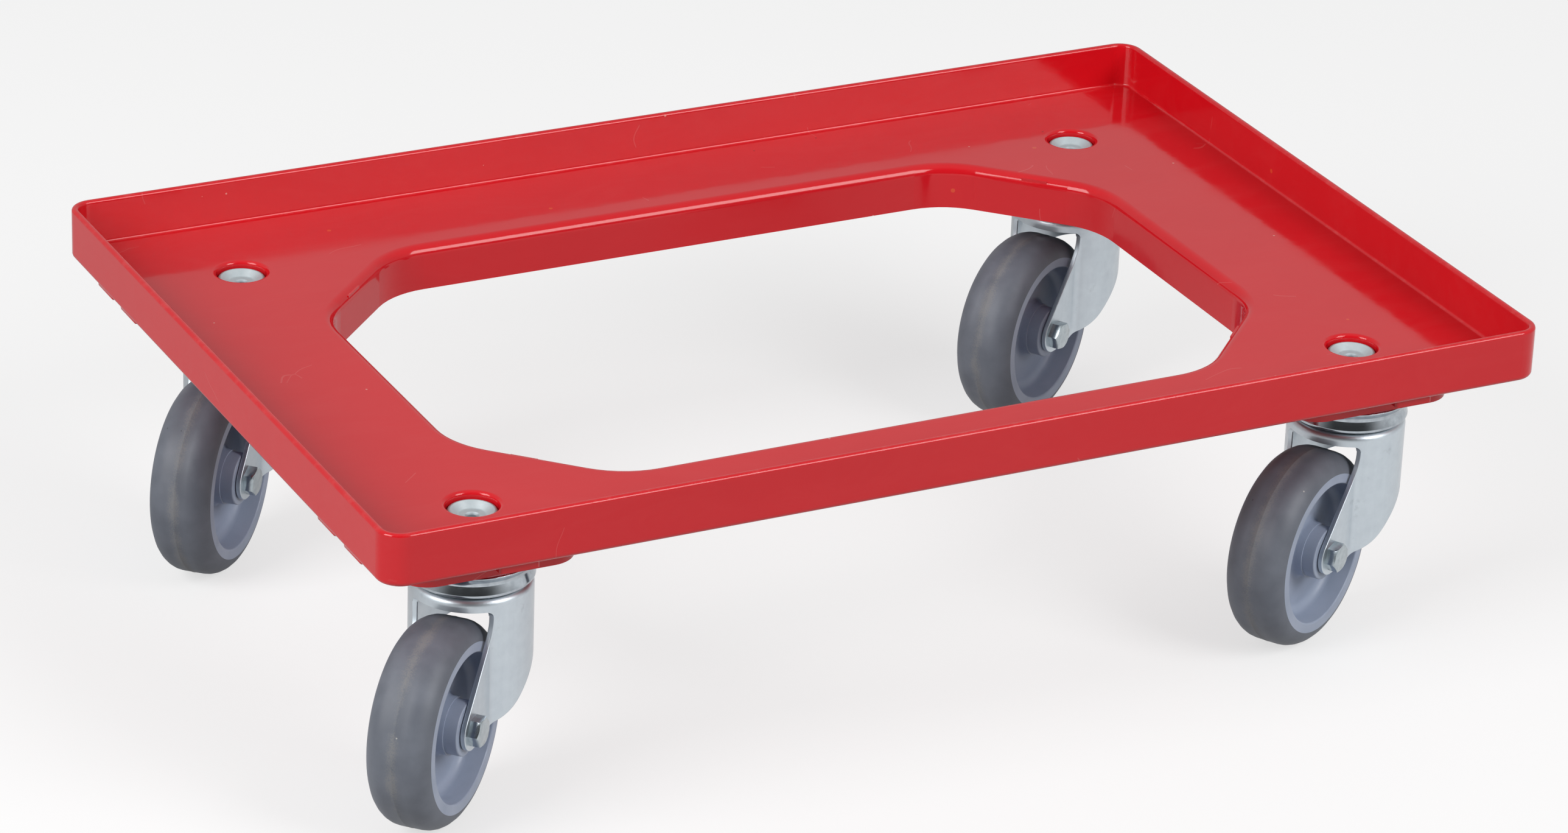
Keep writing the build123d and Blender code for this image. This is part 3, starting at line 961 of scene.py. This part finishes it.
@dataclass(frozen=True)
class Castor:
    """One swivel castor: a new tyre and pan, softened bolts and nuts, and its other CAD pieces dressed."""

    corner: Corner
    finishes: Finishes
    bolt_round: float = 0.22 * MM
    bolt_sharp: float = math.radians(20)
    tyre_width: float = 32.0 * MM
    tyre_thickness: float = 9.0 * MM
    shoulder_height: float = 14.35 * MM
    shoulder_radius: float = 10.98 * MM
    channel_depth: float = 3.0 * MM
    lip_width: float = 4.0 * MM
    parting_height: float = 0.12 * MM
    parting_width: float = 0.7 * MM
    pan_bore: float = 8.05 * MM
    pan_sheet: float = 1.7 * MM
    pan_brim: float = 32.0 * MM
    pan_brim_radius: float = 0.6 * MM
    pan_neck: float = 28.4 * MM
    pan_neck_depth: float = 4.2 * MM
    pan_neck_radius: float = 2.5 * MM
    pan_bead: float = 30.1 * MM
    pan_bead_depth: float = 9.6 * MM
    pan_bead_radius: float = 0.9 * MM
    pan_bead_start_radius: float = 0.5 * MM
    pan_depth: float = 11.1 * MM
    pan_inside: float = 27.6 * MM
    pan_inside_radius: float = 0.6 * MM

    def node(self, piece: str) -> str:
        """Name of one of the castor's CAD nodes."""
        return f"{piece}_{self.corner.value}"

    def joint(self, name: str) -> dict[str, Any]:
        """One of the castor's two joints, as the record states it."""
        wanted = self.node(name)
        return next(joint for joint in frame["joints"] if joint["name"] == wanted)

    def axle_place(self) -> Matrix:
        """Work out the place of the axle's middle, with Z along the axle.

        Returns:
            The place in the part's frame.
        """
        spin = self.joint("wheel_spin")
        axle = Vector(spin["axis"]).normalized()
        trail = axle.cross(UP)
        turn = Matrix((trail, -UP, axle)).transposed().to_4x4()
        return Matrix.Translation(Vector(spin["pos_m"])) @ turn

    def build(self) -> None:
        """Build and dress the castor."""
        self.build_tyre()
        self.build_pan()
        swivel = self.node("swivel")
        for piece in ("axle_bolt", "axle_nut"):
            self.build_fastener(piece, swivel)
        self.build_fastener("fixing_nut", "deck")
        dress(self.node("wheel_rim"), self.finishes.rim)
        dress(self.node("hub_bush"), self.finishes.bush)
        dress(self.node("fork"), self.finishes.sheet)
        dress(self.node("fixing_bolt"), self.finishes.head)
        dress(self.node("swivel_balls"), self.finishes.ball)
        for piece in ("kingpin_sleeve", "race_cup", "axle_sleeve"):
            dress(self.node(piece), self.finishes.fastener)

    def build_tyre(self) -> None:
        """Turn the tyre, with its round shoulders and the thin line where its mould parted."""
        low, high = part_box(self.node("tyre"))
        outer = (high.z - low.z) / 2
        tread = outer - self.parting_height
        seat = outer - self.tyre_thickness
        half = self.tyre_width / 2
        channel = half - self.lip_width
        bed = seat - self.channel_depth
        line = self.parting_width / 2
        side = [
            Turn(tread, line),
            Turn(tread, self.shoulder_height, self.shoulder_radius),
            Turn(seat, half),
            Turn(seat, channel),
            Turn(bed, channel),
        ]
        other = [Turn(turn.radius, -turn.height, turn.rounding) for turn in reversed(side)]
        shape = lathe([Turn(outer, 0.0), *side, *other])
        lay_around(shape, outer)
        shape.transform(self.axle_place())
        show(
            self.node("moulded_tyre"),
            shape,
            self.node("wheel"),
            self.node("tyre"),
            self.finishes.tyre,
        )

    def build_pan(self) -> None:
        """Turn the swivel pan, with its hollow wall and the rolled bead at its lower edge."""
        low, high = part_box(self.node("swivel_pan"))
        middle = (low + high) / 2
        shape = lathe(
            [
                Turn(self.pan_bore, 0.0),
                Turn(self.pan_brim, 0.0, self.pan_brim_radius),
                Turn(self.pan_neck, -self.pan_neck_depth, self.pan_neck_radius),
                Turn(self.pan_bead, -self.pan_bead_depth, self.pan_bead_start_radius),
                Turn(self.pan_bead, -self.pan_depth, self.pan_bead_radius),
                Turn(self.pan_inside, -self.pan_depth, self.pan_inside_radius),
                Turn(self.pan_inside, -self.pan_sheet),
                Turn(self.pan_bore, -self.pan_sheet),
            ]
        )
        shape.transform(Matrix.Translation((middle.x, middle.y, high.z)))
        show(
            self.node("pressed_swivel_pan"),
            shape,
            "deck",
            self.node("swivel_pan"),
            self.finishes.bright,
        )

    def build_fastener(self, piece: str, body: str) -> None:
        """Round the edges of a bolt or nut.

        Args:
            piece: Which of the castor's fasteners.
            body: Name of the CAD body that it rides on.
        """
        node = self.node(piece)
        shape = softened(node, self.bolt_round, self.bolt_sharp)
        show(f"plated_{node}", shape, body, node, self.finishes.fastener)


# Studio
@dataclass(frozen=True)
class Softbox:
    """A rectangular studio lamp that faces the object, and how bright it makes a white face there."""

    name: str
    place: tuple[float, float, float]
    width: float
    height: float
    level: float

    def build(self, target: Vector) -> None:
        """Hang the lamp.

        Args:
            target: Point that it faces.
        """
        lamp = bpy.data.lights.new(self.name, "AREA")
        lamp.shape = "RECTANGLE"
        lamp.size = self.width
        lamp.size_y = self.height
        away = Vector(self.place) - target
        lamp.energy = self.level * math.pi**2 * away.length_squared
        holder = bpy.data.objects.new(self.name, lamp)
        holder.location = self.place
        holder.rotation_euler = away.to_track_quat("Z", "Y").to_euler()
        bpy.context.scene.collection.objects.link(holder)


@dataclass(frozen=True)
class Studio:
    """Pale floor, soft lamps, bright surroundings and the camera at the photograph's angle."""

    ambient: float = 0.31
    backdrop: float = 0.95
    mirrored_back: float = 0.58
    camera_side: float = 0.05
    camera_side_rise: float = 0.15
    camera_side_start: float = 0.35
    camera_side_full: float = 0.92
    floor_lift: float = 0.63
    floor_mirrored: float = 0.5
    floor_mirrored_behind: float = 0.25
    floor_fade: float = 0.3
    floor_size: float = 30.0
    floor_colour: str = "#9C9C9C"
    floor_rough: float = 0.9
    azimuth: float = math.radians(-27.246)
    elevation: float = math.radians(24.902)
    roll: float = math.radians(2.174)
    photo_width: float = 2576.0
    focal_length: float = 9807.88
    sensor: float = 36.0
    eye: tuple[float, float, float] = (-1.24766, -2.41712, 1.20305)
    lamps: tuple[Softbox, ...] = (
        Softbox("Left softbox", (-2.4, -0.5, 1.5), width=1.5, height=1.7, level=0.67),
        Softbox("Right softbox", (1.3, -2.3, 1.75), width=1.5, height=1.7, level=0.53),
    )

    def build(self) -> None:
        """Build the surroundings."""
        self.build_floor()
        self.build_world()
        self.build_camera()
        middle = (cad_box[0] + cad_box[1]) / 2
        for lamp in self.lamps:
            lamp.build(middle)
        bpy.context.scene.view_settings.view_transform = "Standard"

    def build_floor(self) -> None:
        """Lay the pale floor under the wheels, which mirrors as dimmer behind the object."""
        shape = bmesh.new()
        bmesh.ops.create_grid(shape, x_segments=1, y_segments=1, size=self.floor_size / 2)
        mesh = bpy.data.meshes.new("floor")
        shape.transform(Matrix.Translation((0.0, 0.0, cad_box[0].z)))
        shape.to_mesh(mesh)
        shape.free()
        material, tree, shader = new_material(
            "Pale floor",
            Base_Color=linear(self.floor_colour),
            Roughness=self.floor_rough,
            Emission_Color=linear(WHITE),
        )
        path = add(tree, "LightPath")
        place = add(tree, "TexCoord").outputs["Object"]
        behind = (math.sin(self.azimuth), math.cos(self.azimuth), 0.0)
        way = add(tree, "VectorMath", {0: place, 1: behind}, operation="DOT_PRODUCT")
        paleness = add(
            tree,
            "MapRange",
            {
                "Value": way.outputs["Value"],
                "From Max": self.floor_fade,
                "To Min": self.floor_mirrored,
                "To Max": self.floor_mirrored_behind,
            },
            interpolation_type="SMOOTHSTEP",
        )
        bounced = add(
            tree,
            "Math",
            {0: path.outputs["Is Glossy Ray"], 1: path.outputs["Is Transmission Ray"]},
            operation="MAXIMUM",
        )
        mirrored = add(
            tree, "Math", {0: bounced.outputs[0], 1: paleness.outputs["Result"]}, operation="MULTIPLY"
        )
        lift = add(
            tree,
            "Math",
            {0: path.outputs["Is Camera Ray"], 1: self.floor_lift, 2: mirrored.outputs[0]},
            operation="MULTIPLY_ADD",
        )
        tree.links.new(lift.outputs[0], shader.inputs["Emission Strength"])
        mesh.materials.append(material)
        floor = bpy.data.objects.new("floor", mesh)
        bpy.context.scene.collection.objects.link(floor)

    def build_world(self) -> None:
        """Surround the object with even light, which mirrors as a bright room with a dim camera side."""
        world = bpy.data.worlds.new("Studio")
        world.use_nodes = True
        tree = world.node_tree
        tree.nodes.clear()
        toward = Vector((math.sin(self.azimuth), -math.cos(self.azimuth), self.camera_side_rise))
        way = add(tree, "TexCoord").outputs["Generated"]
        facing = add(tree, "VectorMath", {0: way, 1: toward.normalized()}, operation="DOT_PRODUCT")
        shown = add(
            tree,
            "MapRange",
            {
                "Value": facing.outputs["Value"],
                "From Min": self.camera_side_start,
                "From Max": self.camera_side_full,
                "To Min": self.mirrored_back,
                "To Max": self.camera_side,
            },
            interpolation_type="SMOOTHSTEP",
        )
        path = add(tree, "LightPath")
        mirrored = add(
            tree,
            "Math",
            {0: path.outputs["Is Glossy Ray"], 1: path.outputs["Is Transmission Ray"]},
            operation="MAXIMUM",
        )
        strength = add(
            tree,
            "Mix",
            {"Factor": mirrored.outputs[0], 2: self.ambient, 3: shown.outputs["Result"]},
            data_type="FLOAT",
        )
        seen = add(
            tree,
            "Mix",
            {"Factor": path.outputs["Is Camera Ray"], 2: strength.outputs[0], 3: self.backdrop},
            data_type="FLOAT",
        )
        background = add(tree, "Background", {"Color": linear(WHITE), "Strength": seen.outputs[0]})
        add(tree, "OutputWorld", {"Surface": background.outputs[0]})
        bpy.context.scene.world = world

    def build_camera(self) -> None:
        """Stand the camera where the photograph was taken."""
        level = math.cos(self.elevation)
        back = Vector(
            (math.sin(self.azimuth) * level, -math.cos(self.azimuth) * level, math.sin(self.elevation))
        )
        right = UP.cross(back).normalized()
        above = back.cross(right)
        across = right * math.cos(self.roll) + above * math.sin(self.roll)
        upright = above * math.cos(self.roll) - right * math.sin(self.roll)
        data = bpy.data.cameras.new("Camera")
        data.sensor_width = self.sensor
        data.lens = self.focal_length / self.photo_width * self.sensor
        camera = bpy.data.objects.new("Camera", data)
        turn = Matrix((across, upright, back)).transposed().to_4x4()
        camera.matrix_world = Matrix.Translation(Vector(self.eye)) @ turn
        bpy.context.scene.collection.objects.link(camera)
        bpy.context.scene.camera = camera


def main() -> None:
    """Build the object's looks and its studio."""
    logging.basicConfig(level=logging.INFO, format="%(name)s: %(message)s")
    finishes = Finishes.build()
    Deck(finishes).build()
    for corner in Corner:
        Castor(corner, finishes).build()
    Studio().build()


if __name__ == "__main__":
    main()
